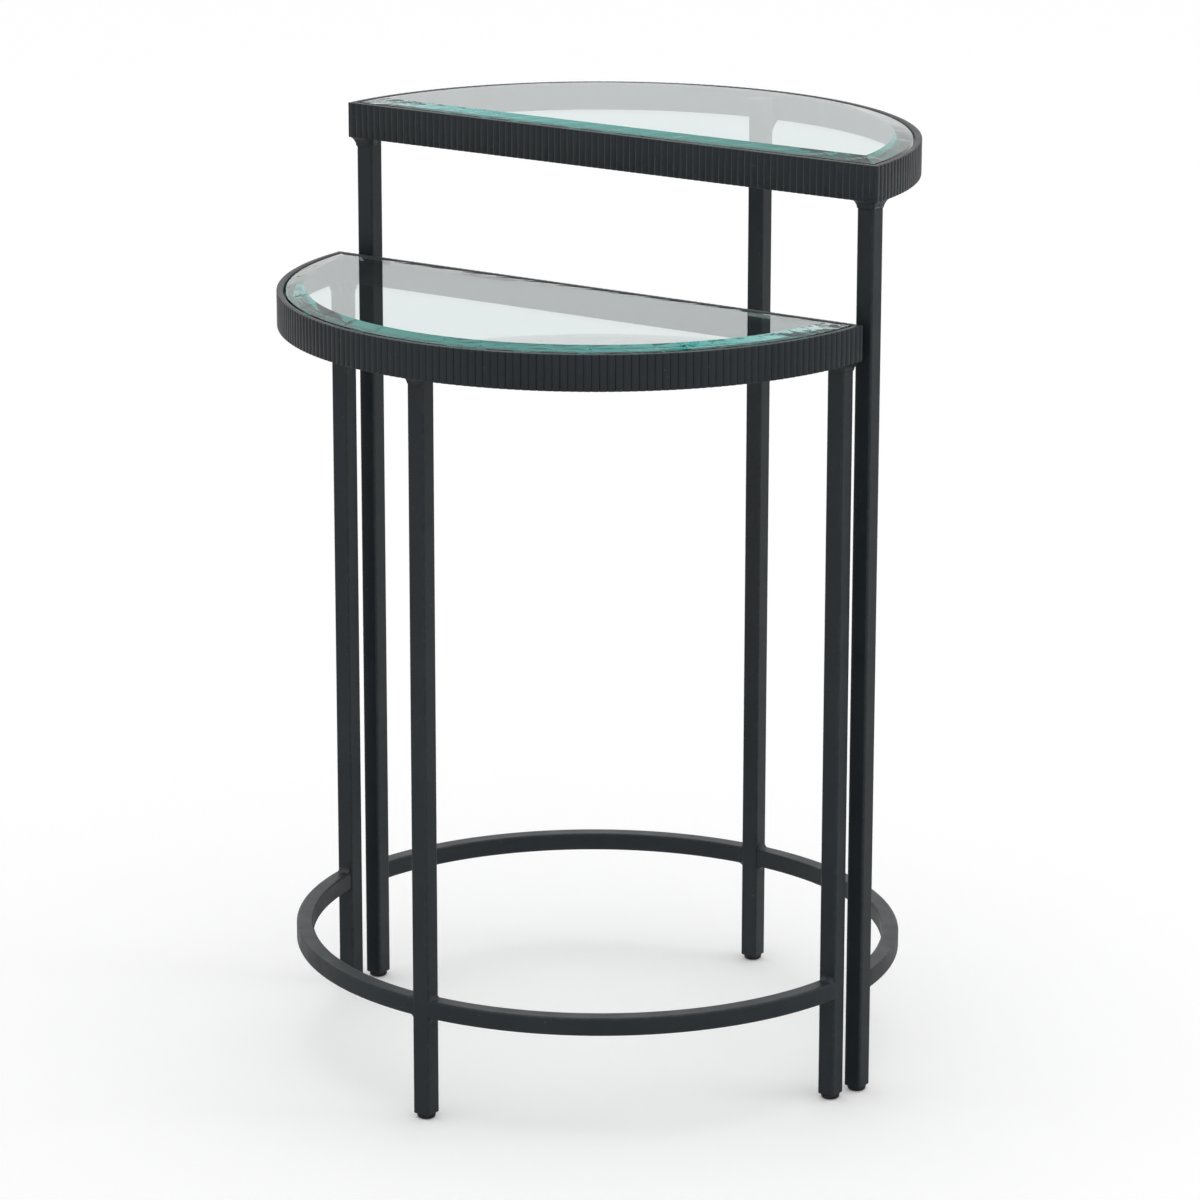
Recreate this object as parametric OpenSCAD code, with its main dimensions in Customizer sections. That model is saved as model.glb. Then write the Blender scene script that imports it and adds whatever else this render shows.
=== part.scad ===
// Pair of half-round nesting tables: square-bar steel frames with a reeded rim and a loose glass top.
// The two tables have the same plan. Their straight sides stand back to back, so from above the
// pair makes a round table on two levels. Millimetres, +Z up, floor at z = 0, X along the straight
// sides, the tall table on the +Y side and the low table on the -Y side.

/* [Tables] */
// Height of the tall table's rim above the floor
tall_h = 610; // [480:5:760]
// Height of the low table's rim above the floor
low_h = 510; // [380:5:640]
// Width of each table along its straight side, over the reeds
width = 409; // [340:1:520]
// How far the centre of the curved side lies outside the straight side
centre_out = 2.2; // [0:0.1:6]
// Gap between the two straight sides when the pair stands together
pair_gap = 2.4; // [1:0.1:20]
// How far the low table stands to the left of the tall one
pair_shift = 6.2; // [0:0.1:30]

/* [Rim] */
// Height of the reeded rim
rim_h = 23; // [18:0.5:32]
// Thickness of the rim over the reeds
rim_t = 4.4; // [3.5:0.1:6]
// Number of reeds all the way round one rim
reeds = 216; // [120:2:240]
// Depth of the grooves between the reeds
reed_depth = 0.8; // [0.3:0.1:1.2]
// Radius of the two outer corners
corner_r = 1.3; // [1:0.1:8]
// Width of the inner bar that carries the glass
ledge_w = 5; // [4:0.5:10]

/* [Glass] */
// Thickness of the glass
glass_t = 6; // [5:0.5:8]
// Clearance between the glass and the rim
glass_gap = 1.5; // [1:0.1:2]
// How far the glass's flat top stands above the rim
glass_rise = 2.3; // [0:0.1:3]
// Width of the bevel round the glass
bevel_w = 12.5; // [6:0.5:20]
// How far the bevel drops towards the edge
bevel_drop = 2.3; // [1:0.1:3.5]
// Thickness of the pads under the glass
pad_t = 1; // [0.5:0.1:2]
// Diameter of the pads
pad_d = 3.6; // [3:0.1:3.8]

/* [Legs] */
// Side of the square leg bar
leg = 12; // [10:0.5:16]
// Radius of the leg's long edges
leg_edge = 1.3; // [0.5:0.1:2]
// Distance from the rim's outer side to a corner leg's outer side
leg_inset_x = 4.3; // [3:0.1:8]
// Distance from the rim's straight side to a corner leg's near side
leg_inset_y = 4; // [2:0.1:8]
// Size of the weld fillets where a leg meets the rim
top_weld = 5; // [3:0.5:6]

/* [Stretcher] */
// Height of the stretcher's top above the floor
stretcher_z = 81.5; // [50:0.5:150]
// Height of the stretcher bar
stretcher_h = 12; // [8:0.5:16]
// Width of the stretcher bar
stretcher_w = 11; // [8:0.5:11.5]
// Radius of the stretcher's long edges
stretcher_edge = 1.3; // [0.5:0.1:2]
// Size of the weld fillets where the stretcher meets a leg
side_weld = 4; // [2:0.5:6]

/* [Glides] */
// Diameter of a glide's round head
glide_d = 12; // [9:0.5:12]
// Height of a glide's head, which is the leg's height above the floor
glide_h = 3.2; // [2.5:0.1:8]
// Radius of a glide's lower edge
glide_edge = 2; // [0.5:0.1:2.5]
// Diameter of the hole in the leg's end
stem_d = 6; // [4:0.1:7]
// How much thicker the stem is than its hole
stem_grip = 0.1; // [0.05:0.05:0.2]
// Length of the stem in the leg
stem_l = 18; // [10:1:30]

/* [Hidden] */
$fn = 96;

// Colours
black_paint = "#2b2f33";
weld_paint = "#33373b";
black_plastic = "#17181a";
clear_glass = "#9fd6cc";
clear_pad = "#dfe6e6";

// The rim's plan: a circle of radius rim_r about [0, -centre_out], cut along y = 0
rim_r = sqrt(pow(width / 2, 2) + pow(centre_out, 2));
inner_r = rim_r - rim_t;
ledge_r = inner_r - ledge_w;
glass_r = inner_r - glass_gap;
glass_y = rim_t + glass_gap;
big = 2 * width;
sliver = 0.01;

// Heights inside a rim, from the rim's top: the glass's underside, and the pads' underside
glass_under = glass_rise - glass_t;
pad_under = glass_under - pad_t;

// The outer corners: each is a circle of radius corner_r that touches the straight side and the arc
corner_x = sqrt(pow(rim_r - corner_r, 2) - pow(corner_r + centre_out, 2));
corner_turn = 90 + asin((corner_r + centre_out) / (rim_r - corner_r));
arc_turn = 180 - 2 * (corner_turn - 90);

// Lengths round the rim, from the middle of the straight side
side_l = corner_x;
corner_l = corner_r * corner_turn * PI / 180;
arc_l = rim_r * arc_turn * PI / 180;
rim_l = 2 * side_l + 2 * corner_l + arc_l;
reed_steps = 6;

// The legs
corner_leg_x = width / 2 - leg_inset_x - leg / 2;
corner_leg_y = leg_inset_y + leg / 2;
leg_face_y = leg_inset_y + leg;
middle_face_y = sqrt(pow(ledge_r, 2) - pow(leg / 2, 2)) - centre_out;
middle_leg_y = middle_face_y - leg / 2;
middle_leg_top = 4; // how far it ends below the inner bar's top edge

// The stretcher: an arc through the outer edges of the corner legs and the middle leg
leg_face_x = corner_leg_x + leg / 2;
ring_drop = (pow(leg_face_x, 2) + pow(leg_face_y, 2) - pow(middle_face_y, 2))
          / (2 * (middle_face_y - leg_face_y));
ring_r = middle_face_y + ring_drop;

// The pads: places along the straight ledge, and angles along the curved one
pad_in = rim_t + ledge_w - pad_d / 2 - 0.1;
pad_places = [-150, 0, 150];
pad_angles = [25, 68, 112, 155];

// Height of a reed at step i of reed_steps, from 0 in a groove to 1 on the crown
function crown(i) = sqrt(sin(180 * (i % reed_steps) / reed_steps));

// Point on the rim's outline at length s from the middle of the straight side, moved in by d
function rim_point(s, d) =
  s < side_l ? [s, d]
  : s < side_l + corner_l ? let(a = -90 + (s - side_l) / corner_r * 180 / PI)
      [corner_x + (corner_r - d) * cos(a), corner_r + (corner_r - d) * sin(a)]
  : s < side_l + corner_l + arc_l ? let(a = corner_turn - 90 + (s - side_l - corner_l) / rim_r * 180 / PI)
      [(rim_r - d) * cos(a), -centre_out + (rim_r - d) * sin(a)]
  : s < rim_l - side_l ? let(a = -90 - (rim_l - side_l - s) / corner_r * 180 / PI)
      [-corner_x + (corner_r - d) * cos(a), corner_r + (corner_r - d) * sin(a)]
  : [s - rim_l, d];

// ---- Plan shapes ----

// Everything inside the reeded outline
module reeded_plan() {
  steps = reeds * reed_steps;
  polygon([for (i = [0:steps - 1]) rim_point(rim_l * (i + 0.5) / steps, reed_depth * (1 - crown(i)))]);
}

// Half-round area of radius r beyond the line y = y0
module half_round(r, y0) {
  intersection() {
    translate([0, -centre_out]) circle(r = r, $fn = 256);
    translate([-big / 2, y0]) square([big, big]);
  }
}

// Square with rounded corners, centred on the origin
module round_square(w, h, r) {
  square([w - 2 * r, h], center = true);
  square([w, h - 2 * r], center = true);
  for (x = [-1, 1], y = [-1, 1]) translate([x * (w / 2 - r), y * (h / 2 - r)]) circle(r = r, $fn = 32);
}

// ---- Sub-parts of one table, whose rim is at height h ----

module rim_straight(h) {
  color(black_paint) translate([0, 0, h - rim_h]) linear_extrude(rim_h) intersection() {
    reeded_plan();
    translate([-big / 2, 0]) square([big, rim_t]);
  }
}

// Half of the curved band, from a corner to its joint behind the middle leg
module rim_arc(h, side) {
  color(black_paint) translate([0, 0, h - rim_h]) linear_extrude(rim_h) difference() {
    reeded_plan();
    translate([0, -centre_out]) circle(r = inner_r, $fn = 256);
    translate([-big / 2, -big + rim_t]) square([big, big]);
    translate([side > 0 ? -big : 0, -big / 2]) square([big, 2 * big]);
  }
}

// The inner bars stand on edge inside the rim, and their top edges carry the glass
module ledge_straight(h) {
  color(black_paint) translate([0, 0, h - rim_h]) linear_extrude(rim_h + pad_under) difference() {
    half_round(inner_r, rim_t);
    translate([-big / 2, rim_t + ledge_w]) square([big, big]);
  }
}

module ledge_arc(h) {
  color(black_paint) translate([0, 0, h - rim_h]) linear_extrude(rim_h + pad_under) difference() {
    half_round(inner_r, rim_t + ledge_w);
    translate([0, -centre_out]) circle(r = ledge_r, $fn = 256);
  }
}

// The glass lies loose in the rim, with its flat top above the rim
module glass(h) {
  bevel_tilt = atan(bevel_drop / bevel_w);
  color(clear_glass, 0.45) translate([0, 0, h + glass_under]) difference() {
    translate([0, -centre_out, 0]) rotate_extrude($fn = 256) polygon([
      [0, 0], [glass_r, 0], [glass_r, glass_t - bevel_drop], [glass_r - bevel_w, glass_t], [0, glass_t]]);
    translate([-big / 2, -big + glass_y, -glass_t]) cube([big, big, 3 * glass_t]);
    translate([-big / 2, glass_y, glass_t - bevel_drop]) rotate([bevel_tilt, 0, 0])
      translate([0, -bevel_w, 0]) cube([big, 3 * bevel_w, glass_t]);
  }
}

module glass_pads(h) {
  color(clear_pad) translate([0, 0, h + pad_under]) {
    for (x = pad_places) translate([x, pad_in, 0]) cylinder(d = pad_d, h = pad_t, $fn = 32);
    for (a = pad_angles) translate([0, -centre_out, 0]) rotate(a)
      translate([rim_r - pad_in, 0, 0]) cylinder(d = pad_d, h = pad_t, $fn = 32);
  }
}

// Square bar with its lower end at the glide, drilled for the glide's stem
module leg_bar(top) {
  color(black_paint) difference() {
    translate([0, 0, glide_h]) linear_extrude(top - glide_h) round_square(leg, leg, leg_edge);
    translate([0, 0, glide_h - sliver]) cylinder(d = stem_d, h = stem_l + 1, $fn = 48);
  }
}

module corner_leg(h, side) {
  translate([side * corner_leg_x, corner_leg_y, 0]) leg_bar(h - rim_h);
}

// The middle leg runs up inside the rim, against the inner bar
module middle_leg(h) {
  translate([0, middle_leg_y, 0]) leg_bar(h + pad_under - middle_leg_top);
}

// Half of the curved stretcher, from a corner leg to the middle leg
module stretcher(side) {
  color(black_paint) intersection() {
    translate([0, -ring_drop, stretcher_z - stretcher_h / 2]) rotate_extrude($fn = 256)
      translate([ring_r - stretcher_w / 2, 0]) round_square(stretcher_w, stretcher_h, stretcher_edge);
    translate([side > 0 ? leg / 2 : -leg / 2 - big, leg_face_y, 0]) cube([big, big, 2 * stretcher_z]);
  }
}

// Hollow fillet along one side of a leg, length l along X, rising towards +Y
module fillet(l, r) {
  difference() {
    translate([-l / 2, 0, 0]) cube([l, r, r]);
    translate([-l / 2 - 1, 0, 0]) rotate([0, 90, 0]) cylinder(r = r, h = l + 2, $fn = 48);
  }
}

// Hollow fillet round a square leg, which widens upwards to the rim's underside at z = 0
module fillet_collar() {
  for (a = [0:90:270]) rotate(a) translate([0, -leg / 2 - top_weld, -top_weld])
    fillet(leg - 2 * leg_edge, top_weld);
  for (a = [0:90:270]) rotate(a) translate([leg / 2 - leg_edge, leg / 2 - leg_edge, -top_weld])
    rotate_extrude(angle = 90, $fn = 48) difference() {
      translate([leg_edge, 0]) square(top_weld);
      translate([leg_edge + top_weld, 0]) circle(r = top_weld, $fn = 48);
    }
}

// Weld fillets between the legs' upper ends and the underside of the rim and its inner bar
module top_welds(h) {
  color(weld_paint) translate([0, 0, h - rim_h]) intersection() {
    union() {
      for (side = [-1, 1]) translate([side * corner_leg_x, corner_leg_y, 0]) fillet_collar();
      translate([0, middle_leg_y, 0]) fillet_collar();
    }
    translate([0, 0, -2 * top_weld]) linear_extrude(2 * top_weld) difference() {
      half_round(rim_r - reed_depth, reed_depth);
      half_round(ledge_r, rim_t + ledge_w);
    }
  }
}

// Fillets above and below a bar that leaves the face y = 0 towards +Y, its centre line at z = 0
module bar_fillets() {
  l = stretcher_w - 2 * stretcher_edge;
  translate([0, side_weld, stretcher_h / 2 + side_weld]) rotate([180, 0, 0]) fillet(l, side_weld);
  translate([0, side_weld, -stretcher_h / 2 - side_weld]) rotate(180) fillet(l, side_weld);
}

module stretcher_welds() {
  color(weld_paint) translate([0, 0, stretcher_z - stretcher_h / 2]) for (side = [-1, 1]) {
    translate([side * (leg_face_x - stretcher_w / 2), leg_face_y, 0]) bar_fillets();
    translate([side * leg / 2, middle_face_y - stretcher_w / 2, 0]) rotate(-90 * side) bar_fillets();
  }
}

// Round plastic glide with a rounded lower edge and a stem that presses into the leg
module glide() {
  color(black_plastic) rotate_extrude() {
    square([glide_d / 2 - glide_edge, glide_h]);
    translate([0, glide_edge]) square([glide_d / 2, glide_h - glide_edge]);
    translate([glide_d / 2 - glide_edge, glide_edge]) circle(r = glide_edge, $fn = 32);
    square([(stem_d + stem_grip) / 2, glide_h + stem_l]);
  }
}

module corner_glide(side) {
  translate([side * corner_leg_x, corner_leg_y, 0]) glide();
}

module middle_glide() {
  translate([0, middle_leg_y, 0]) glide();
}

// ---- The two tables in place ----

module tall() {
  translate([pair_shift / 2, pair_gap / 2, 0]) children();
}

// Turned round, so this table's own +1 side is the pair's left side
module low() {
  translate([-pair_shift / 2, -pair_gap / 2, 0]) rotate(180) children();
}

tall() rim_straight(tall_h);  // tall_rim_straight
tall() rim_arc(tall_h, -1);  // tall_left_rim_arc
tall() rim_arc(tall_h, 1);  // tall_right_rim_arc
tall() ledge_straight(tall_h);  // tall_ledge_straight
tall() ledge_arc(tall_h);  // tall_ledge_arc
tall() glass_pads(tall_h);  // tall_glass_pads
tall() corner_leg(tall_h, -1);  // tall_left_leg
tall() corner_leg(tall_h, 1);  // tall_right_leg
tall() middle_leg(tall_h);  // tall_middle_leg
tall() stretcher(-1);  // tall_left_stretcher
tall() stretcher(1);  // tall_right_stretcher
tall() top_welds(tall_h);  // tall_top_welds
tall() stretcher_welds();  // tall_stretcher_welds
tall() corner_glide(-1);  // tall_left_glide
tall() corner_glide(1);  // tall_right_glide
tall() middle_glide();  // tall_middle_glide

low() rim_straight(low_h);  // low_rim_straight
low() rim_arc(low_h, 1);  // low_left_rim_arc
low() rim_arc(low_h, -1);  // low_right_rim_arc
low() ledge_straight(low_h);  // low_ledge_straight
low() ledge_arc(low_h);  // low_ledge_arc
low() glass_pads(low_h);  // low_glass_pads
low() corner_leg(low_h, 1);  // low_left_leg
low() corner_leg(low_h, -1);  // low_right_leg
low() middle_leg(low_h);  // low_middle_leg
low() stretcher(1);  // low_left_stretcher
low() stretcher(-1);  // low_right_stretcher
low() top_welds(low_h);  // low_top_welds
low() stretcher_welds();  // low_stretcher_welds
low() corner_glide(1);  // low_left_glide
low() corner_glide(-1);  // low_right_glide
low() middle_glide();  // low_middle_glide

tall() glass(tall_h);  // tall_glass
low() glass(low_h);  // low_glass
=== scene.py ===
"""Looks for the pair of half-round nesting tables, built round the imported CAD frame. Metres, +Z up."""
import math
import random

import bmesh
import bpy
from mathutils import Matrix, Vector


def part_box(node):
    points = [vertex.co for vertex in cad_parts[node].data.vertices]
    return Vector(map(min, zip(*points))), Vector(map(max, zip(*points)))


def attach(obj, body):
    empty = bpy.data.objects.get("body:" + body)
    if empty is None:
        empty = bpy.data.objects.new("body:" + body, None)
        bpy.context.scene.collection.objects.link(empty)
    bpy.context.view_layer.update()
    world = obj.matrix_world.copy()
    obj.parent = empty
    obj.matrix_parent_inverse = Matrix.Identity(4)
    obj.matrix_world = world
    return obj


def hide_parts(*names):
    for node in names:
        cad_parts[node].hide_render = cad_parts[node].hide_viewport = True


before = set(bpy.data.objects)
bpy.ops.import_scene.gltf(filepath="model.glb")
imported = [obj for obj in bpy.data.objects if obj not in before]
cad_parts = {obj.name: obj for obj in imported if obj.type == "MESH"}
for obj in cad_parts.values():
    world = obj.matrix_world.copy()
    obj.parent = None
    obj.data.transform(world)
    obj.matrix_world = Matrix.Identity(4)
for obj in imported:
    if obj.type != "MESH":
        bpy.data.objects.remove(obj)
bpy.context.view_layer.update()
MM = 0.001

# ---- Sizes that the frame's boxes don't give ----
CENTRE_OUT = 2.2 * MM       # the arc's centre lies this far outside the straight side
FIT = 0.02 * MM             # clearance where two pieces would share a face
CLEAR = 0.05 * MM           # from the feet up to the legs, and from the rim's underside to the inner bar's
BURIED = 0.05 * MM          # how far a bead's hidden edge goes into the bar
ARC_STEP = math.radians(0.75)
ROUND_MID = 0.3             # the middle of a small rounding lies this share of it in from both faces

# rim and inner bar
CORNER_R = 1.3 * MM         # outer corners of the rim
SKIN = 0.03 * MM            # how far the reeds stay inside the CAD outline
REEDS = 216                 # reeds round one rim
REED_DEPTH = 0.8 * MM
REED_SHALLOW = 0.86         # the shallowest reed's share of that depth
REED_STEPS = 12             # mesh columns in one reed
REED_START = 1 / 12         # where the first reed starts, in reeds
REED_ROUND = 0.45           # under 1 makes wide reeds with narrow grooves
REED_LEAN = 0.03            # how far a reed's middle may be off, in reeds
CREST_WIDTH = 0.09          # rubbed line along a reed's crest, in reeds
CREST_WEAR = 0.9
GROOVE_WEAR = 0.35          # wear of the rim's edge in a groove, as a share of that on a crest
EASE = 0.4 * MM             # eased edges of the rim and its inner bar
FINE_EASE = 0.25 * MM       # the rim's upper outer edge

# glass and its pads
GLASS_GAP = 1.5 * MM        # between the glass and the rim
BEVEL_W = 12.5 * MM
BEVEL_DROP = 2.3 * MM
BEVEL_ROWS = 6
ARRIS = 0.3 * MM            # fine chamfer on the glass's sharp edges
GLASS_COLUMNS = 252         # mesh columns along the pane's straight side
GLASS_TURN = math.radians(0.45)         # from one column to the next round its arc
MARK_DEPTH = 0.24 * MM      # the grinding wheel left shallow slanting marks in the bevel
MARK_PITCH = 9.5 * MM       # from one mark to the next at the pane's end; it widens further on
MARK_START = 4 * MM         # the row of marks starts this far before the pane's end
MARK_SLANT = 0.37           # how far a mark leans along the edge, per length across the bevel
MARK_SHALLOW = 0.5          # the shallowest mark's share of MARK_DEPTH
PAD_R, PAD_EDGE, PAD_STEPS = 1.8 * MM, 0.3 * MM, 20
PAD_INSET = 0.1 * MM        # from the inner bar's inner face
PAD_X = (-150 * MM, 0, 150 * MM)        # along the straight side
PAD_ANGLES = (25, 68, 112, 155)         # round the arc, in degrees

# legs, stretcher and feet
BAR_EDGE = 1.3 * MM         # rounded long edges of the legs and the stretcher
LEG_LIP = 0.4 * MM          # eased lower end of a leg
STRETCHER_W = 11 * MM
FOOT_EDGE = 2 * MM          # rounded lower edge of a foot
FOOT_RELIEF = 0.25 * MM     # hollow under a foot
FOOT_CAP = 0.3 * MM         # radius of the flat spot in the middle of the hollow
FOOT_RIM = 0.3 * MM         # flat ring on which a foot stands
FOOT_LIP = 0.2 * MM         # eased upper edge of a foot
FOOT_STEPS = 8
STEM_R, STEM_L = 3 * MM, 12 * MM

# welds
RIM_MARGIN = 0.3 * MM       # how far a weld stops short of the rim's outer side
LEG_SLACK = 0.5 * MM        # how far a weld may stand inside the inner bar
COLLAR_REACH = (4.8, 5.6)   # how far a collar can spread under the rim, in mm
COLLAR_MEAN = 0.78          # how much of that it spreads on average
COLLAR_UNEVEN = 0.3         # and how much its waves add or take away
COLLAR_WAVES = (1, 2, 3, 5)             # waves round the leg
COLLAR_SLANT = 0.6          # share of a straight slant in its profile; the rest is a hollow quarter round
COLLAR_ROWS = 10
COLLAR_PROBE = 0.1 * MM     # step with which the room under the rim is felt out
COLLAR_SOFT = 0.9 * MM      # the most that a point may stand out past its neighbours' average
COLLAR_DROP = 1.8 * MM      # a collar goes this much further down the leg than out under the rim
COLLAR_ROOT = 1 * MM        # how far its hidden edges lie inside the leg
FLAT_POINTS, BEND_STEPS = 10, 5         # of a collar along one side and round one corner of the leg
RIDGE_AT, RIDGE_WIDTH = 0.14, 0.10      # raised line near a collar's lower edge, in collar heights
WEAR_AND_GLINT_AT, WORN_WIDTH = 0.20, 0.14        # its rubbed line, where the painted glint lies too
GLINT_WEAR, GLINT_WIDTH = 2.2, 0.12      # wear value and width of a painted glint: a pale line coloured like metal without paint
FILLET_ALONG = (3.6, 6.0)   # how far a fillet runs along the stretcher, in mm
FILLET_RISE = (3.4, 5.6)    # and up or down the leg
FILLET_EDGE = 0.4 * MM      # from the stretcher's side to a fillet's end
FILLET_UNEVEN = 0.12        # how much its size varies
FILLET_WEAR = 0.5
FILLET_ACROSS, FILLET_STEPS = 10, 7
ROOT_IN, ROOT_DOWN = 0.5 * MM, 0.6 * MM         # a fillet's hidden edge inside the leg and the stretcher

# ---- Stage ----
FLOOR_HALF = 15.0
FLOOR_SEEN, FLOOR_GLOW = 0.98, 0.08     # where the camera sees it directly
FLOOR_BACK_SHADE = 0.80           # painted shade: the floor's greyer tone behind the tables, where the panes show it
FLOOR_FRONT_SHADE = 0.56          # and its darker painted shade in front of them, where the legs and rims mirror it
BEHIND = (-0.565, 0.825, 0.0)
FLOOR_TURNS = (0.35, 0.9)   # the part of a direction along BEHIND where the tone starts and ends its change
BRIGHT_SIDE = (-0.50, 0.75, -0.50)
WORLD_TURNS = (0.4, 0.76)   # likewise for the surroundings along BRIGHT_SIDE
WORLD_DIM, WORLD_BRIGHT, WORLD_TOP = 0.48, 0.97, 1.3
SOFT_LIGHT_PLACE, SOFT_LIGHT_AIM = (2.4, 1.3, 1.7), (0, 0, 0.4)
SOFT_LIGHT_SIZE = 1.0
SOFT_LIGHT_POWER = 6.0
CAMERA_PLACE = (1.79267, -2.61168, 1.16890)
CAMERA_RIGHT = (0.824579, 0.565746, 0.001339)
CAMERA_UP = (-0.150515, 0.217094, 0.964477)
CAMERA_LENS, CAMERA_SENSOR = 150.614, 36.0
BOUNCES = 64                # light zigzags this often inside the glass's bevel


def link(thing):
    bpy.context.scene.collection.objects.link(thing)
    return thing


# ---- Meshes as lists of (vertices, faces, wear and painted glint) ----

def hump(u, middle, width):
    """Smooth hump, 1 at u = middle."""
    return math.exp(-((u - middle) / width) ** 2)


def averaged(values):
    """Each value of a closed row averaged with its two neighbours."""
    return [(values[i - 1] + v + values[(i + 1) % len(values)]) / 3 for i, v in enumerate(values)]


def half_round(r, y0, side_steps=24, turn=ARC_STEP):
    """Closed loop round the half-round area of radius r beyond the line y = y0, in a table's own plan."""
    end = math.sqrt(r * r - (y0 + CENTRE_OUT) ** 2)
    start = math.atan2(y0 + CENTRE_OUT, end)
    steps = round(math.pi / turn)
    loop = [(end * (2 * i / side_steps - 1), y0) for i in range(side_steps)]
    for i in range(steps):
        a = start + (math.pi - 2 * start) * i / steps
        loop.append((r * math.cos(a), r * math.sin(a) - CENTRE_OUT))
    return loop


def round_square(w, h, r, steps=5):
    """Closed loop round a rectangle with rounded corners, with a column just beside each corner's ends.
    Gives (x, y, edge), where edge is 1 on the rounding and 0 on the flats."""
    loop = []
    beside = 0.6 * r
    for k, (sx, sy) in enumerate([(1, 1), (-1, 1), (-1, -1), (1, -1)]):
        cx, cy = sx * (w / 2 - r), sy * (h / 2 - r)
        start, end = math.pi / 2 * k, math.pi / 2 * (k + 1)
        corner = []
        for i in range(steps + 1):
            a = start + (end - start) * i / steps
            corner.append((cx + r * math.cos(a), cy + r * math.sin(a), 1.0))
        (x0, y0, _), (x1, y1, _) = corner[0], corner[-1]
        loop.append((x0 + beside * math.sin(start), y0 - beside * math.cos(start), 0.0))
        loop += corner
        loop.append((x1 - beside * math.sin(end), y1 + beside * math.cos(end), 0.0))
    return loop


def skin(loops, ring=False):
    """(vertices, faces) of the surface through equally long loops: a closed ring, or a tube with its ends
    capped."""
    n = len(loops[0])
    verts = [p for loop in loops for p in loop]
    faces = []
    for j in range(len(loops) if ring else len(loops) - 1):
        a, b = j * n, (j + 1) % len(loops) * n
        faces += [(a + i, a + (i + 1) % n, b + (i + 1) % n, b + i) for i in range(n)]
    if not ring:
        faces.append(tuple(range(n)))
        faces.append(tuple(range(len(verts) - n, len(verts))))
    return verts, faces


def together(parts):
    """One (vertices, faces, wear) from several."""
    verts, faces, wear_and_glint = [], [], []
    for v, f, w in parts:
        faces += [tuple(i + len(verts) for i in face) for face in f]
        verts += v
        wear_and_glint += w
    return verts, faces, wear_and_glint


def lathe(profile, x, y, steps=32):
    """Surface of revolution round the upright line at x, y through (radius, z, wear)."""
    loops = [[(x + r * math.cos(2 * math.pi * i / steps), y + r * math.sin(2 * math.pi * i / steps), z)
              for i in range(steps)] for r, z, _ in profile]
    return (*skin(loops), [w for _, _, w in profile for _ in range(steps)])


class Table:
    """One table's own frame: x along its straight side, y from that side towards the arc, z up.
    facing is 1 for the tall table, and -1 for the low one, which is turned half round."""

    def __init__(self, name, facing):
        self.name, self.facing = name, facing
        box = {n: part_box(f"{name}_{n}") for n in (
            "rim_straight", "ledge_straight", "glass", "left_leg", "middle_leg", "left_stretcher")}
        lo, hi = box["glass"]
        centre_x = (lo.x + hi.x) / 2
        self.glass_low, self.glass_top = lo.z, hi.z
        face_y = box["rim_straight"][0 if facing > 0 else 1].y
        self.glass_r = max(abs(lo.y - face_y), abs(hi.y - face_y)) + CENTRE_OUT
        turned = Matrix.Rotation(0 if facing > 0 else math.pi, 4, "Z")
        self.place = Matrix.Translation((centre_x, face_y, 0)) @ turned
        lo, hi = box["rim_straight"]
        self.rim_low, self.rim_top, self.rim_t = lo.z, hi.z, hi.y - lo.y
        self.inner_r = self.glass_r + GLASS_GAP
        self.rim_r = self.inner_r + self.rim_t
        lo, hi = box["ledge_straight"]
        self.ledge_top, self.ledge_w = hi.z, hi.y - lo.y
        self.ledge_r = self.inner_r - self.ledge_w
        lo, hi = box["left_leg"]
        self.leg, self.leg_low = hi.x - lo.x, lo.z
        self.corner_leg = (abs((lo.x + hi.x) / 2 - centre_x), abs((lo.y + hi.y) / 2 - face_y))
        lo, hi = box["middle_leg"]
        self.middle_leg, self.middle_top = (0.0, abs((lo.y + hi.y) / 2 - face_y)), hi.z
        lo, hi = box["left_stretcher"]
        self.ring_low, self.ring_top = lo.z, hi.z
        # the stretcher's outer face is an arc through the outer edges of the corner legs and the middle leg
        self.leg_face_x = self.corner_leg[0] + self.leg / 2
        self.leg_face_y = self.corner_leg[1] + self.leg / 2
        self.far_face_y = self.middle_leg[1] + self.leg / 2
        reach = self.leg_face_x ** 2 + self.leg_face_y ** 2 - self.far_face_y ** 2
        self.ring_drop = reach / (2 * (self.far_face_y - self.leg_face_y))
        self.ring_r = self.far_face_y + self.ring_drop

    def side(self, word):
        """+1 or -1 in this table's own frame for the pair's left or right."""
        return self.facing * (1 if word == "right" else -1)

    def leg_place(self, word):
        if word == "middle":
            return self.middle_leg
        return (self.side(word) * self.corner_leg[0], self.corner_leg[1])

    def add(self, shape, name, body, slot, material, replaced, sharp=32):
        """Makes a piece from (vertices, faces, wear), puts it in place and hands it to the frame."""
        verts, faces, wear_and_glint = shape
        mesh = bpy.data.meshes.new(f"{self.name}_{name}")
        mesh.from_pydata([self.place @ Vector(v) for v in verts], [], faces)
        mesh.attributes.new("wear_and_glint", "FLOAT", "POINT").data.foreach_set("value", wear_and_glint)
        bm = bmesh.new()
        bm.from_mesh(mesh)
        bmesh.ops.remove_doubles(bm, verts=bm.verts, dist=1e-7)
        bmesh.ops.recalc_face_normals(bm, faces=bm.faces)
        bm.to_mesh(mesh)
        bm.free()
        mesh.shade_smooth()
        mesh.set_sharp_from_angle(angle=math.radians(sharp))
        mesh.materials.append(material)
        piece = link(bpy.data.objects.new(f"{self.name}_{name}", mesh))
        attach(piece, f"{self.name}_{body}")
        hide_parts(*[f"{self.name}_{n}" for n in replaced])
        return piece


# ---- Rim and inner bar ----

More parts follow.
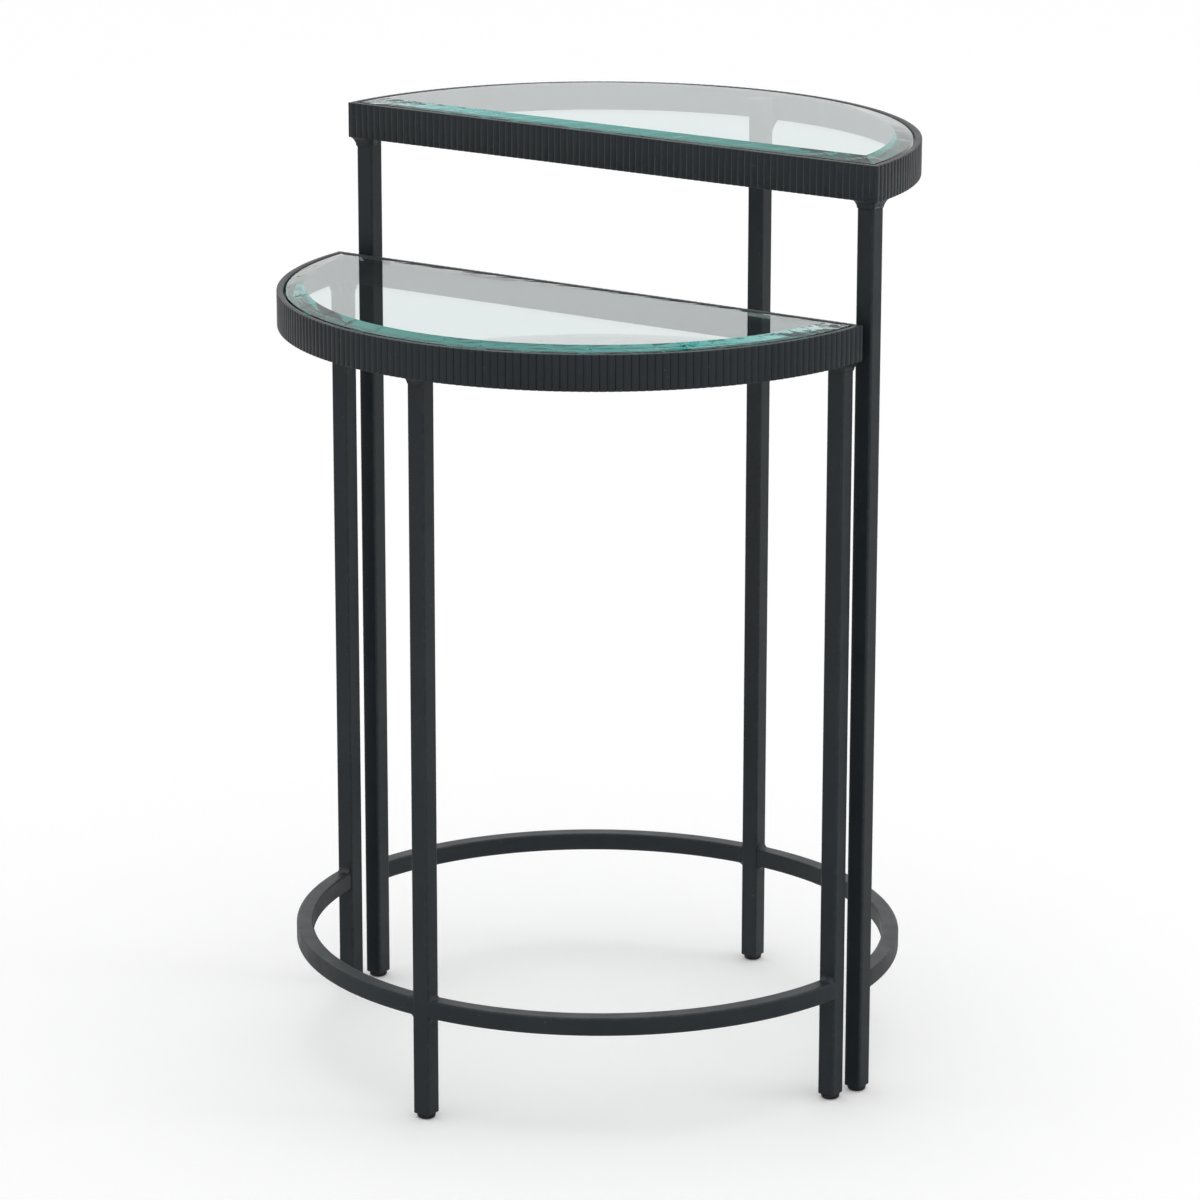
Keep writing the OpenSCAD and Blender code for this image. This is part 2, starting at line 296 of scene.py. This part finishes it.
class RimLine:
    """The rim's outline in plan, by the length s along it from the middle of the straight side."""

    def __init__(self, t):
        self.t = t
        touch, bend_r = CORNER_R + CENTRE_OUT, t.rim_r - CORNER_R
        self.corner_x = math.sqrt(bend_r ** 2 - touch ** 2)
        turn = math.pi / 2 + math.asin(touch / bend_r)
        self.arc_start = turn - math.pi / 2
        self.arc_s = self.corner_x + CORNER_R * turn
        self.length = 2 * self.arc_s + t.rim_r * (math.pi - 2 * self.arc_start)
        self.inner_x = math.sqrt(t.inner_r ** 2 - (t.rim_t + CENTRE_OUT) ** 2)
        self.inner_a = math.atan2(t.rim_t + CENTRE_OUT, self.inner_x)

    def on_arc(self, s):
        return self.arc_s <= s <= self.length - self.arc_s

    def outer(self, s, d):
        """The outline's point at s, moved in by d."""
        if s < self.corner_x or s > self.length - self.corner_x:
            return (s if s < self.corner_x else s - self.length, d)
        if self.on_arc(s):
            a = self.arc_start + (s - self.arc_s) / self.t.rim_r
            return ((self.t.rim_r - d) * math.cos(a), (self.t.rim_r - d) * math.sin(a) - CENTRE_OUT)
        side = 1 if s < self.length / 2 else -1
        run = s - self.corner_x if side > 0 else self.length - self.corner_x - s
        a = -math.pi / 2 + run / CORNER_R
        r = max(CORNER_R - d, SKIN)
        return (side * (self.corner_x + r * math.cos(a)), CORNER_R + r * math.sin(a))

    def inner(self, s, d):
        """The inner wall's point opposite the outline's point at s, moved out into the band by d."""
        x, y = self.outer(s, 0)
        if self.on_arc(s):
            a = min(max(math.atan2(y + CENTRE_OUT, x), self.inner_a), math.pi - self.inner_a)
            r = self.t.inner_r + d
            return (r * math.cos(a), r * math.sin(a) - CENTRE_OUT)
        return (min(max(x, -self.inner_x - d), self.inner_x + d), self.t.rim_t - d)


def rim(t, rng):
    """The reeded band round the whole table, with eased edges."""
    line = RimLine(t)
    pitch = line.length / REEDS
    columns = []
    for i in range(REEDS):
        deep = REED_DEPTH * rng.uniform(REED_SHALLOW, 1.0)
        lean = rng.uniform(-REED_LEAN, REED_LEAN) * pitch
        for k in range(REED_STEPS):
            u = k / REED_STEPS
            crown = math.sin(math.pi * u) ** REED_ROUND
            s = (i + REED_START + u) * pitch + lean * math.sin(math.pi * u)
            columns.append((s % line.length, SKIN + deep * (1 - crown), crown, hump(u, 0.5, CREST_WIDTH)))
    low, top, mid, fine_mid = t.rim_low, t.rim_top, ROUND_MID * EASE, ROUND_MID * FINE_EASE
    profile = [  # on the outer wall, moved in by, height, wear of an edge, wear of the crests
        (True, EASE, low, 0.3, 0),
        (True, mid, low + mid, 1, 0),
        (True, 0, low + EASE, 0, CREST_WEAR),
        (True, 0, top - FINE_EASE, 0, CREST_WEAR),
        (True, fine_mid, top - fine_mid, 0.4, 0),
        (True, FINE_EASE, top, 0, 0),
        (False, EASE, top, 0.2, 0),
        (False, 0, top - EASE, 0.2, 0),
        (False, 0, low, 0, 0)]
    loops, wear_and_glint = [], []
    for outside, d, z, edge, face in profile:
        loop = []
        for s, inset, crown, crest in columns:
            loop.append((*(line.outer(s, inset + d) if outside else line.inner(s, d)), z))
            wear_and_glint.append(edge * (GROOVE_WEAR + (1 - GROOVE_WEAR) * crown) + face * crest)
        loops.append(loop)
    return (*skin(loops, ring=True), wear_and_glint)


def ledge(t):
    """The flat bar on edge inside the rim that carries the glass."""
    z0, z1 = t.rim_low + CLEAR, t.ledge_top
    rows = [(0, z0, 0), (0, z1 - EASE, 0), (EASE, z1, 1), (t.ledge_w - EASE, z1, 1),
            (t.ledge_w, z1 - EASE, 0), (t.ledge_w, z0 + EASE, 0), (t.ledge_w - EASE, z0, 1)]
    loops = [[(x, y, z) for x, y in half_round(t.inner_r - FIT - d, t.rim_t + FIT + d)] for d, z, _ in rows]
    return (*skin(loops, ring=True), [w for _, _, w in rows for _ in loops[0]])


# ---- Glass and pads ----

def mark_number(s):
    """Number of the grinding mark at the distance s from the pane's end, and the part passed since it."""
    pitch, past = MARK_PITCH / MM, max(s, 0) / MM
    return 0.5 + math.sqrt(pitch ** 2 + 2 * past) - pitch


def glass(t, rng):
    """Bevelled half-round pane with fine arrises and shallow slanting grinding marks in its bevel."""
    y0 = t.rim_t + GLASS_GAP
    edge_z = t.glass_top - BEVEL_DROP
    rows = [(ARRIS, t.glass_low), (0, t.glass_low + ARRIS), (0, edge_z - ARRIS)]
    for k in range(BEVEL_ROWS + 1):
        d = ARRIS + (BEVEL_W - ARRIS) * k / BEVEL_ROWS
        rows.append((d, edge_z + d * BEVEL_DROP / BEVEL_W))
    marks = math.ceil(mark_number(math.pi * t.glass_r + MARK_START)) + 1
    depth = [MARK_DEPTH * rng.uniform(MARK_SHALLOW, 1.0) for _ in range(marks)]
    loops = []
    for d, z in rows:
        across = max(0, (d - ARRIS) / (BEVEL_W - ARRIS))
        share = max(0, math.sin(math.pi * across)) ** 0.5   # a mark is deepest in the middle of the bevel
        plan = half_round(t.glass_r - d, y0 + d, GLASS_COLUMNS, GLASS_TURN)
        loop = []
        for i, (x, y) in enumerate(plan):
            on_side = i <= GLASS_COLUMNS
            s = x - plan[0][0] if on_side else t.glass_r * (math.pi - math.atan2(y + CENTRE_OUT, x))
            number = mark_number(s + MARK_START - MARK_SLANT * d)
            loop.append((x, y, z - share * depth[int(number)] * (number % 1)))
        loops.append(loop)
    verts, faces = skin(loops)
    return verts, faces, [0.0] * len(verts)


def pads(t):
    """Clear bumpers between the inner bar and the glass."""
    top, mid = t.glass_low - FIT, ROUND_MID * PAD_EDGE
    profile = [(PAD_R, t.ledge_top, 0), (PAD_R, top - PAD_EDGE, 0), (PAD_R - mid, top - mid, 0),
               (PAD_R - PAD_EDGE, top, 0)]
    inset = t.rim_t + t.ledge_w - PAD_R - PAD_INSET
    reach = t.rim_r - inset
    spots = [(x, inset) for x in PAD_X]
    for a in map(math.radians, PAD_ANGLES):
        spots.append((reach * math.cos(a), reach * math.sin(a) - CENTRE_OUT))
    return together([lathe(profile, x, y, PAD_STEPS) for x, y in spots])


# ---- Legs, stretcher and feet ----

def leg(t, word):
    """Square bar with rounded long edges, eased at its lower end."""
    x, y = t.leg_place(word)
    top = t.middle_top if word == "middle" else t.rim_low
    rows = [(t.leg - 2 * LEG_LIP, t.leg_low, 1), (t.leg, t.leg_low + LEG_LIP, 1),
            (t.leg, t.leg_low + 5 * LEG_LIP, 0), (t.leg, top, 0)]
    loops, wear_and_glint = [], []
    for w, z, wear_and_glint_value in rows:
        section = round_square(w, w, BAR_EDGE * w / t.leg)
        loops.append([(x + u, y + v, z) for u, v, _ in section])
        wear_and_glint += [max(edge, wear_and_glint_value) for _, _, edge in section]
    return (*skin(loops), wear_and_glint)


def ring_point(t, r, a, z):
    """Point at radius r from the stretcher's own centre, at angle a."""
    return (r * math.cos(a), r * math.sin(a) - t.ring_drop, z)


def stretcher(t, word):
    """Half of the curved bar, from inside a corner leg's rounded edge to inside the middle leg's."""
    side = t.side(word)
    middle_r, z = t.ring_r - STRETCHER_W / 2, (t.ring_low + t.ring_top) / 2
    start = math.asin((t.leg_face_y - BAR_EDGE + t.ring_drop) / t.ring_r)
    end = math.acos((t.leg / 2 - BAR_EDGE) / t.ring_r)
    steps = round((end - start) / ARC_STEP)
    section = round_square(STRETCHER_W, t.ring_top - t.ring_low, BAR_EDGE)
    loops = []
    for i in range(steps + 1):
        a = start + (end - start) * i / steps
        loop = [ring_point(t, middle_r + u, a, z + v) for u, v, _ in section]
        loops.append([(side * min(x, t.leg_face_x), min(y, t.far_face_y), h) for x, y, h in loop])
    return (*skin(loops), [edge for _ in loops for _, _, edge in section])


def foot(t, word):
    """Round plastic foot with a stem up into the leg."""
    x, y = t.leg_place(word)
    lo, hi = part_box(f"{t.name}_{word}_glide")
    r, top = (hi.x - lo.x) / 2 - FIT / 2, t.leg_low - CLEAR
    sole = r - FOOT_EDGE
    profile = [(FOOT_CAP, FOOT_RELIEF, 0), (sole - 2 * FOOT_RIM, FOOT_RELIEF, 0), (sole - FOOT_RIM, 0, 0.5)]
    for i in range(FOOT_STEPS + 1):
        a = math.pi / 2 * i / FOOT_STEPS
        profile.append((sole + FOOT_EDGE * math.sin(a), FOOT_EDGE - FOOT_EDGE * math.cos(a), 0.6))
    profile += [(r, top - FOOT_LIP, 0), (r - FOOT_LIP, top, 0.5)]
    profile += [(STEM_R, top, 0), (STEM_R, t.leg_low + STEM_L, 0)]
    return lathe(profile, x, y)


# ---- Welds ----

def in_band(t, x, y):
    """Whether a plan point lies under the rim or its inner bar."""
    r = math.hypot(x, y + CENTRE_OUT)
    if y < RIM_MARGIN or r > t.rim_r - RIM_MARGIN:
        return False
    return y < t.rim_t + t.ledge_w + LEG_SLACK or r > t.ledge_r - LEG_SLACK


def leg_outline(t, x0, y0):
    """Plan points round the leg at x0, y0, each with its outward direction."""
    h, flat = t.leg / 2, t.leg - 2 * BAR_EDGE
    side = [(h, -h + BAR_EDGE + flat * i / (FLAT_POINTS - 1), 0) for i in range(FLAT_POINTS)]
    for i in range(1, BEND_STEPS):
        a = math.pi / 2 * i / BEND_STEPS
        side.append((h - BAR_EDGE + BAR_EDGE * math.cos(a), h - BAR_EDGE + BAR_EDGE * math.sin(a), a))
    points = []
    for k in range(4):
        c, s = math.cos(math.pi / 2 * k), math.sin(math.pi / 2 * k)
        for lx, ly, a in side:
            nx, ny = c * math.cos(a) - s * math.sin(a), s * math.cos(a) + c * math.sin(a)
            points.append((x0 + c * lx - s * ly, y0 + s * lx + c * ly, nx, ny))
    return points


def collar_reach(t, plan, rng):
    """How far a collar spreads from each point of the leg's outline, uneven as a hand-made bead is."""
    wave = [(rng.uniform(0.1, 0.45), n, rng.uniform(0, 2 * math.pi)) for n in COLLAR_WAVES]
    big = rng.uniform(*COLLAR_REACH) * MM
    reach = []
    for i, (px, py, nx, ny) in enumerate(plan):
        free = 0.0
        while free < big and in_band(t, px + nx * (free + COLLAR_PROBE), py + ny * (free + COLLAR_PROBE)):
            free += COLLAR_PROBE
        turn = 2 * math.pi * i / len(plan)
        swing = sum(w * math.sin(n * turn + p) for w, n, p in wave)
        reach.append(min(free, big * (COLLAR_MEAN + COLLAR_UNEVEN * swing)))
    for _ in range(3):
        reach = [min(r, mean + COLLAR_SOFT) for r, mean in zip(reach, averaged(reach))]
    return reach


def collar(t, word, rng):
    """Weld fillet that flares from a leg's upper end to the underside of the rim."""
    plan = leg_outline(t, *t.leg_place(word))
    reach = collar_reach(t, plan, rng)
    bump = averaged([rng.uniform(0.0, 1.0) for _ in plan])
    shows_glint = t.facing > 0 and word == "right"  # painted glint, coloured like metal without paint, on the tall right leg's collar
    loops, wear_and_glint = [], []
    for j in range(COLLAR_ROWS + 1):
        u = j / COLLAR_ROWS
        foot_row, top_row = j == 0, j == COLLAR_ROWS
        loop = []
        for (px, py, nx, ny), r, b in zip(plan, reach, bump):
            ridge = (0.25 + 0.5 * b) * MM * hump(u, RIDGE_AT, RIDGE_WIDTH) * min(1, r / MM)
            out = r * (COLLAR_SLANT * u + (1 - COLLAR_SLANT) * (1 - math.sqrt(1 - u * u))) + ridge
            if foot_row:
                out -= BURIED
            if top_row:
                out = min(out, r)
            z = t.rim_low - (r + COLLAR_DROP) * (1 - u) + (BURIED if top_row else 0)
            loop.append((px + nx * out, py + ny * out, z))
            # painted glint: only the collar's side that faces +x, towards the soft light, gets it
            painted_glint = GLINT_WEAR if shows_glint and nx > 0.95 else 0.0
            wear_and_glint.append(0.8 * b * hump(u, WEAR_AND_GLINT_AT, WORN_WIDTH) + painted_glint * hump(u, WEAR_AND_GLINT_AT, GLINT_WIDTH))
        loops.append(loop)
    hidden = [(px - nx * COLLAR_ROOT, py - ny * COLLAR_ROOT) for px, py, nx, ny in plan]
    loops.insert(0, [(x, y, z) for (x, y), (_, _, z) in zip(hidden, loops[0])])
    loops.append([(x, y, t.rim_low + BURIED) for x, y in hidden])
    unworn = [0.0] * len(plan)
    return (*skin(loops), unworn + wear_and_glint + unworn)


def rim_welds(t, rng):
    return together([collar(t, word, rng) for word in ("left", "right", "middle")])


def bar_fillet(t, side, at_middle, up, rng):
    """Hollow fillet in the corner of a leg and the stretcher, above it (up = 1) or below it (up = -1)."""
    along, rise = rng.uniform(*FILLET_ALONG) * MM, rng.uniform(*FILLET_RISE) * MM
    z = t.ring_top if up > 0 else t.ring_low
    inward = -1 if at_middle else 1
    inner_r, width = t.ring_r - STRETCHER_W + FILLET_EDGE, STRETCHER_W - 2 * FILLET_EDGE
    loops, wear_and_glint = [], []
    for i in range(FILLET_ACROSS + 1):
        v = i / FILLET_ACROSS
        r = inner_r + width * v
        face = math.acos(t.leg / 2 / r) if at_middle else math.asin((t.leg_face_y + t.ring_drop) / r)
        uneven = 1 + FILLET_UNEVEN * math.sin(9 * v + 40 * along / MM)
        full = (1 - abs(2 * v - 1) ** 5) ** 0.5 * uneven
        # the stretcher's rounded edge falls away under the fillet's ends
        off_edge = max(0, BAR_EDGE - FILLET_EDGE - min(v, 1 - v) * STRETCHER_W)
        sink = BAR_EDGE - math.sqrt(BAR_EDGE ** 2 - off_edge ** 2)
        loop = [ring_point(t, r, face - inward * ROOT_IN / r, z - up * (sink + ROOT_DOWN))]
        for j in range(FILLET_STEPS + 1):
            f = math.pi / 2 * j / FILLET_STEPS
            u, w = along * full * (1 - math.sin(f)), rise * full * (1 - math.cos(f))
            loop.append(ring_point(t, r, face + inward * (u - BURIED) / r, z + up * (w - sink - BURIED)))
        loops.append([(side * x, y, h) for x, y, h in loop])
        wear_and_glint += [0.0] + [FILLET_WEAR] * (FILLET_STEPS + 1)
    return (*skin(loops), wear_and_glint)


def stretcher_welds(t, rng):
    return together([bar_fillet(t, side, at_middle, up, rng)
                     for side in (1, -1) for at_middle in (False, True) for up in (1, -1)])


# ---- Materials ----

class Nodes:
    """Short calls for making the nodes of a material, or of the world."""

    def __init__(self, name, owners=bpy.data.materials):
        self.owner = owners.new(name)
        self.owner.use_nodes = True
        self.tree = self.owner.node_tree
        self.shader = next(n for n in self.tree.nodes if n.type in ("BSDF_PRINCIPLED", "BACKGROUND"))
        self.output = next(n for n in self.tree.nodes if n.type.startswith("OUTPUT"))
        space = "Object" if owners == bpy.data.materials else "Generated"
        self.coords = self.tree.nodes.new("ShaderNodeTexCoord").outputs[space]

    def fill(self, socket, value):
        """Links the socket to another one, or gives it a number or a colour."""
        if isinstance(value, bpy.types.NodeSocket):
            self.tree.links.new(value, socket)
        elif socket.type == "RGBA":
            socket.default_value = (*value, 1)
        else:
            socket.default_value = value

    def node(self, kind, inputs=None, **settings):
        made = self.tree.nodes.new("ShaderNode" + kind)
        for key, value in settings.items():
            setattr(made, key, value)
        for key, value in (inputs or {}).items():
            self.fill(made.inputs[key], value)
        return made

    def noise(self, scale, detail=2.0, rough=0.5):
        return self.node("TexNoise", {"Vector": self.coords, "Scale": scale, "Detail": detail,
                                      "Roughness": rough}).outputs["Fac"]

    def remap(self, value, a, b, c, d):
        """The value, moved from the range a to b into the range c to d."""
        return self.node("MapRange", {"Value": value, "From Min": a, "From Max": b,
                                      "To Min": c, "To Max": d}).outputs["Result"]

    def math(self, operation, a, b):
        return self.node("Math", {0: a, 1: b}, operation=operation).outputs["Value"]

    def along(self, vector, direction):
        """The vector's part along a direction."""
        return self.node("VectorMath", {0: vector, 1: direction}, operation="DOT_PRODUCT").outputs["Value"]

    def blend(self, factor, a, b):
        """Colour a where factor is 0 and b where it is 1."""
        return self.node("Mix", {"Factor": factor, 6: a, 7: b}, data_type="RGBA").outputs[2]

    # the wear value carries real wear, and above 1.4 a painted glint
    def wear_and_glint(self):
        return self.node("Attribute", attribute_name="wear_and_glint").outputs["Fac"]

    def bump(self, height, strength, distance, after=None):
        inputs = {"Height": height, "Strength": strength, "Distance": distance}
        if after is not None:
            inputs["Normal"] = after
        return self.node("Bump", inputs).outputs["Normal"]

    def seen_directly(self):
        return self.node("LightPath").outputs["Is Camera Ray"]

    def set(self, **values):
        """Fills the shader's inputs, with _ for a space."""
        for key, value in values.items():
            self.fill(self.shader.inputs[key.replace("_", " ")], value)
        return self.owner


def paint():
    """Satin black powder coat: faint orange peel, cloudy tone, stray pale specks, rubbed edges and crests,
    and a painted glint, pale like metal without paint, where the wear value passes 1.4."""
    n = Nodes("satin_black_paint")
    cloud = n.remap(n.noise(22, 4, 0.6), 0.35, 0.65, 0, 1)
    base = n.blend(cloud, (0.0150, 0.0215, 0.0265), (0.0205, 0.0275, 0.0325))
    specks = n.node("TexVoronoi", {"Vector": n.coords, "Scale": 420.0}).outputs["Distance"]
    speck = n.math("MULTIPLY", n.remap(specks, 0.10, 0.16, 1, 0), n.remap(n.noise(140, 1), 0.66, 0.72, 0, 1))
    base = n.blend(speck, base, (0.12, 0.125, 0.13))
    wear_and_glint_value = n.wear_and_glint()
    rubbed = n.math("MULTIPLY", wear_and_glint_value, n.remap(n.noise(260, 3, 0.65), 0.42, 0.68, 0, 1))
    base = n.blend(n.math("MULTIPLY", rubbed, 0.4), base, (0.045, 0.048, 0.050))
    # painted glint: where the wear value passes 1.4, which only the glint line on the tall right leg's
    # collar reaches, the paint turns pale like metal without paint
    painted_glint = n.math("MULTIPLY", n.remap(wear_and_glint_value, 1.4, 2.0, 0, 1), n.remap(n.noise(500, 2), 0.38, 0.55, 0, 1))
    base = n.blend(painted_glint, base, (0.20, 0.21, 0.22))
    gloss = n.remap(n.noise(60, 3, 0.6), 0.3, 0.7, 0.37, 0.47)
    peel = n.bump(n.noise(900, 2, 0.55), 0.22, 0.00012)
    waves = n.bump(n.noise(170, 2, 0.5), 0.25, 0.00025, peel)
    return n.set(Base_Color=base, Roughness=n.math("SUBTRACT", gloss, n.math("MULTIPLY", rubbed, 0.06)),
                 Normal=waves, IOR=1.45)


def clear_glass():
    """Float glass with a green body, polished."""
    n = Nodes("float_glass")
    tint = n.blend(n.noise(3, 2), (0.995, 1.0, 0.998), (0.985, 0.995, 0.99))
    absorb = n.node("VolumeAbsorption", {"Density": 14.0, "Color": (0.0, 0.69, 0.65)})
    n.tree.links.new(absorb.outputs["Volume"], n.output.inputs["Volume"])
    return n.set(Base_Color=tint, Roughness=0.0, IOR=1.52, Transmission_Weight=1.0)


def clear_pad():
    """Soft clear silicone, slightly milky."""
    n = Nodes("clear_silicone")
    milky = n.blend(n.noise(500, 3), (0.80, 0.84, 0.84), (0.90, 0.93, 0.93))
    return n.set(Base_Color=milky, Roughness=n.remap(n.noise(700, 2), 0.3, 0.7, 0.25, 0.45),
                 IOR=1.41, Transmission_Weight=0.7, Normal=n.bump(n.noise(1500, 2), 0.15, 0.0001))


def plastic():
    """Moulded black plastic with fine grain and scuffed rims."""
    n = Nodes("moulded_black_plastic")
    base = n.blend(n.noise(180, 3, 0.6), (0.008, 0.008, 0.009), (0.015, 0.015, 0.016))
    scuffed = n.math("MULTIPLY", n.wear_and_glint(), n.remap(n.noise(420, 3, 0.7), 0.45, 0.7, 0, 1))
    base = n.blend(n.math("MULTIPLY", scuffed, 0.6), base, (0.05, 0.05, 0.05))
    return n.set(Base_Color=base, Roughness=n.remap(n.noise(300, 2), 0.3, 0.7, 0.42, 0.6),
                 IOR=1.49, Normal=n.bump(n.noise(2500, 2, 0.6), 0.3, 0.00006))


# ---- Pieces ----

def build(t, looks, seed):
    rng, glass_rng = random.Random(seed), random.Random(seed + 10)
    black = ("black_paint", looks["paint"])
    rims = ["rim_straight", "left_rim_arc", "right_rim_arc"]
    band = t.add(rim(t, rng), "rim_band", "frame", *black, rims, sharp=50)
    bar = t.add(ledge(t), "inner_bar", "frame", *black, ["ledge_straight", "ledge_arc"])
    if t.facing > 0:  # the tall rim isn't mirrored in the low pane
        band.visible_glossy = bar.visible_glossy = False
    t.add(glass(t, glass_rng), "glass_top", "glass", "clear_glass", looks["glass"], ["glass"], sharp=4)
    t.add(pads(t), "clear_bumpers", "frame", "clear_pad", looks["pad"], ["glass_pads"])
    for word in ("left", "right", "middle"):
        t.add(leg(t, word), f"{word}_leg_bar", "frame", *black, [f"{word}_leg"])
        t.add(foot(t, word), f"{word}_foot", "frame", "black_plastic", looks["plastic"], [f"{word}_glide"])
    for word in ("left", "right"):
        t.add(stretcher(t, word), f"{word}_curved_bar", "frame", *black, [f"{word}_stretcher"])
    t.add(rim_welds(t, rng), "rim_weld_beads", "frame", *black, ["top_welds"], sharp=60)
    t.add(stretcher_welds(t, rng), "bar_weld_beads", "frame", *black, ["stretcher_welds"], sharp=60)


# ---- Floor, light and camera ----

def floor():
    """Plain pale floor. Seen through glass or in a reflection it carries painted shade: greyer, and darker
    towards the front.
    """
    mesh = bpy.data.meshes.new("floor")
    corners = [(-FLOOR_HALF, -FLOOR_HALF, 0), (FLOOR_HALF, -FLOOR_HALF, 0),
               (FLOOR_HALF, FLOOR_HALF, 0), (-FLOOR_HALF, FLOOR_HALF, 0)]
    mesh.from_pydata(corners, [], [(0, 1, 2, 3)])
    n = Nodes("pale_floor")
    seen = n.seen_directly()
    way = n.node("VectorMath", {0: n.coords}, operation="NORMALIZE").outputs["Vector"]
    # painted shade for all but camera rays: greyer behind the tables, darker in front
    tone = n.blend(n.noise(1.5, 2), (FLOOR_BACK_SHADE,) * 3, (FLOOR_BACK_SHADE - 0.02,) * 3)
    tone = n.blend(n.remap(n.along(way, BEHIND), *FLOOR_TURNS, 0, 1), (FLOOR_FRONT_SHADE,) * 3, tone)
    mesh.materials.append(n.set(
        Base_Color=n.blend(seen, tone, (FLOOR_SEEN,) * 3), Roughness=0.9, Specular_IOR_Level=0.0,
        Emission_Color=(1, 1, 1), Emission_Strength=n.math("MULTIPLY", seen, FLOOR_GLOW)))
    plane = link(bpy.data.objects.new("floor", mesh))


def light():
    """White surroundings, brightest behind the tables and overhead, and a soft light at the right."""
    n = Nodes("studio", bpy.data.worlds)
    strength = n.remap(n.along(n.coords, BRIGHT_SIDE), *WORLD_TURNS, WORLD_DIM, WORLD_BRIGHT)
    up = n.math("MAXIMUM", n.node("SeparateXYZ", {"Vector": n.coords}).outputs["Z"], 0.0)
    strength = n.math("ADD", strength, n.math("MULTIPLY", n.math("POWER", up, 4.0), WORLD_TOP))
    strength = n.math("MAXIMUM", strength, n.seen_directly())
    bpy.context.scene.world = n.set(Color=(1.0, 1.0, 1.0), Strength=strength)

    data = bpy.data.lights.new("soft_light", "AREA")
    data.shape, data.size, data.energy = "SQUARE", SOFT_LIGHT_SIZE, SOFT_LIGHT_POWER
    place = Vector(SOFT_LIGHT_PLACE)
    aim = (Vector(SOFT_LIGHT_AIM) - place).to_track_quat("-Z", "Y").to_matrix().to_4x4()
    lamp = link(bpy.data.objects.new("soft_light", data))
    lamp.matrix_world = Matrix.Translation(place) @ aim


def camera():
    data = bpy.data.cameras.new("camera")
    data.sensor_width, data.lens = CAMERA_SENSOR, CAMERA_LENS
    data.clip_start, data.clip_end = 0.1, 60.0
    right, up = Vector(CAMERA_RIGHT), Vector(CAMERA_UP)
    turned = Matrix((right, up, right.cross(up))).transposed().to_4x4()
    shot = link(bpy.data.objects.new("camera", data))
    shot.matrix_world = Matrix.Translation(CAMERA_PLACE) @ turned
    bpy.context.scene.camera = shot


def render_settings():
    scene = bpy.context.scene
    scene.view_settings.view_transform = "Standard"
    scene.cycles.max_bounces = BOUNCES
    scene.cycles.transmission_bounces = BOUNCES
    scene.cycles.glossy_bounces = BOUNCES
    scene.cycles.diffuse_bounces = 4
    scene.cycles.use_denoising = True


looks = {"paint": paint(), "glass": clear_glass(), "pad": clear_pad(), "plastic": plastic()}
build(Table("tall", 1), looks, 11)
build(Table("low", -1), looks, 12)
floor()
light()
camera()
render_settings()
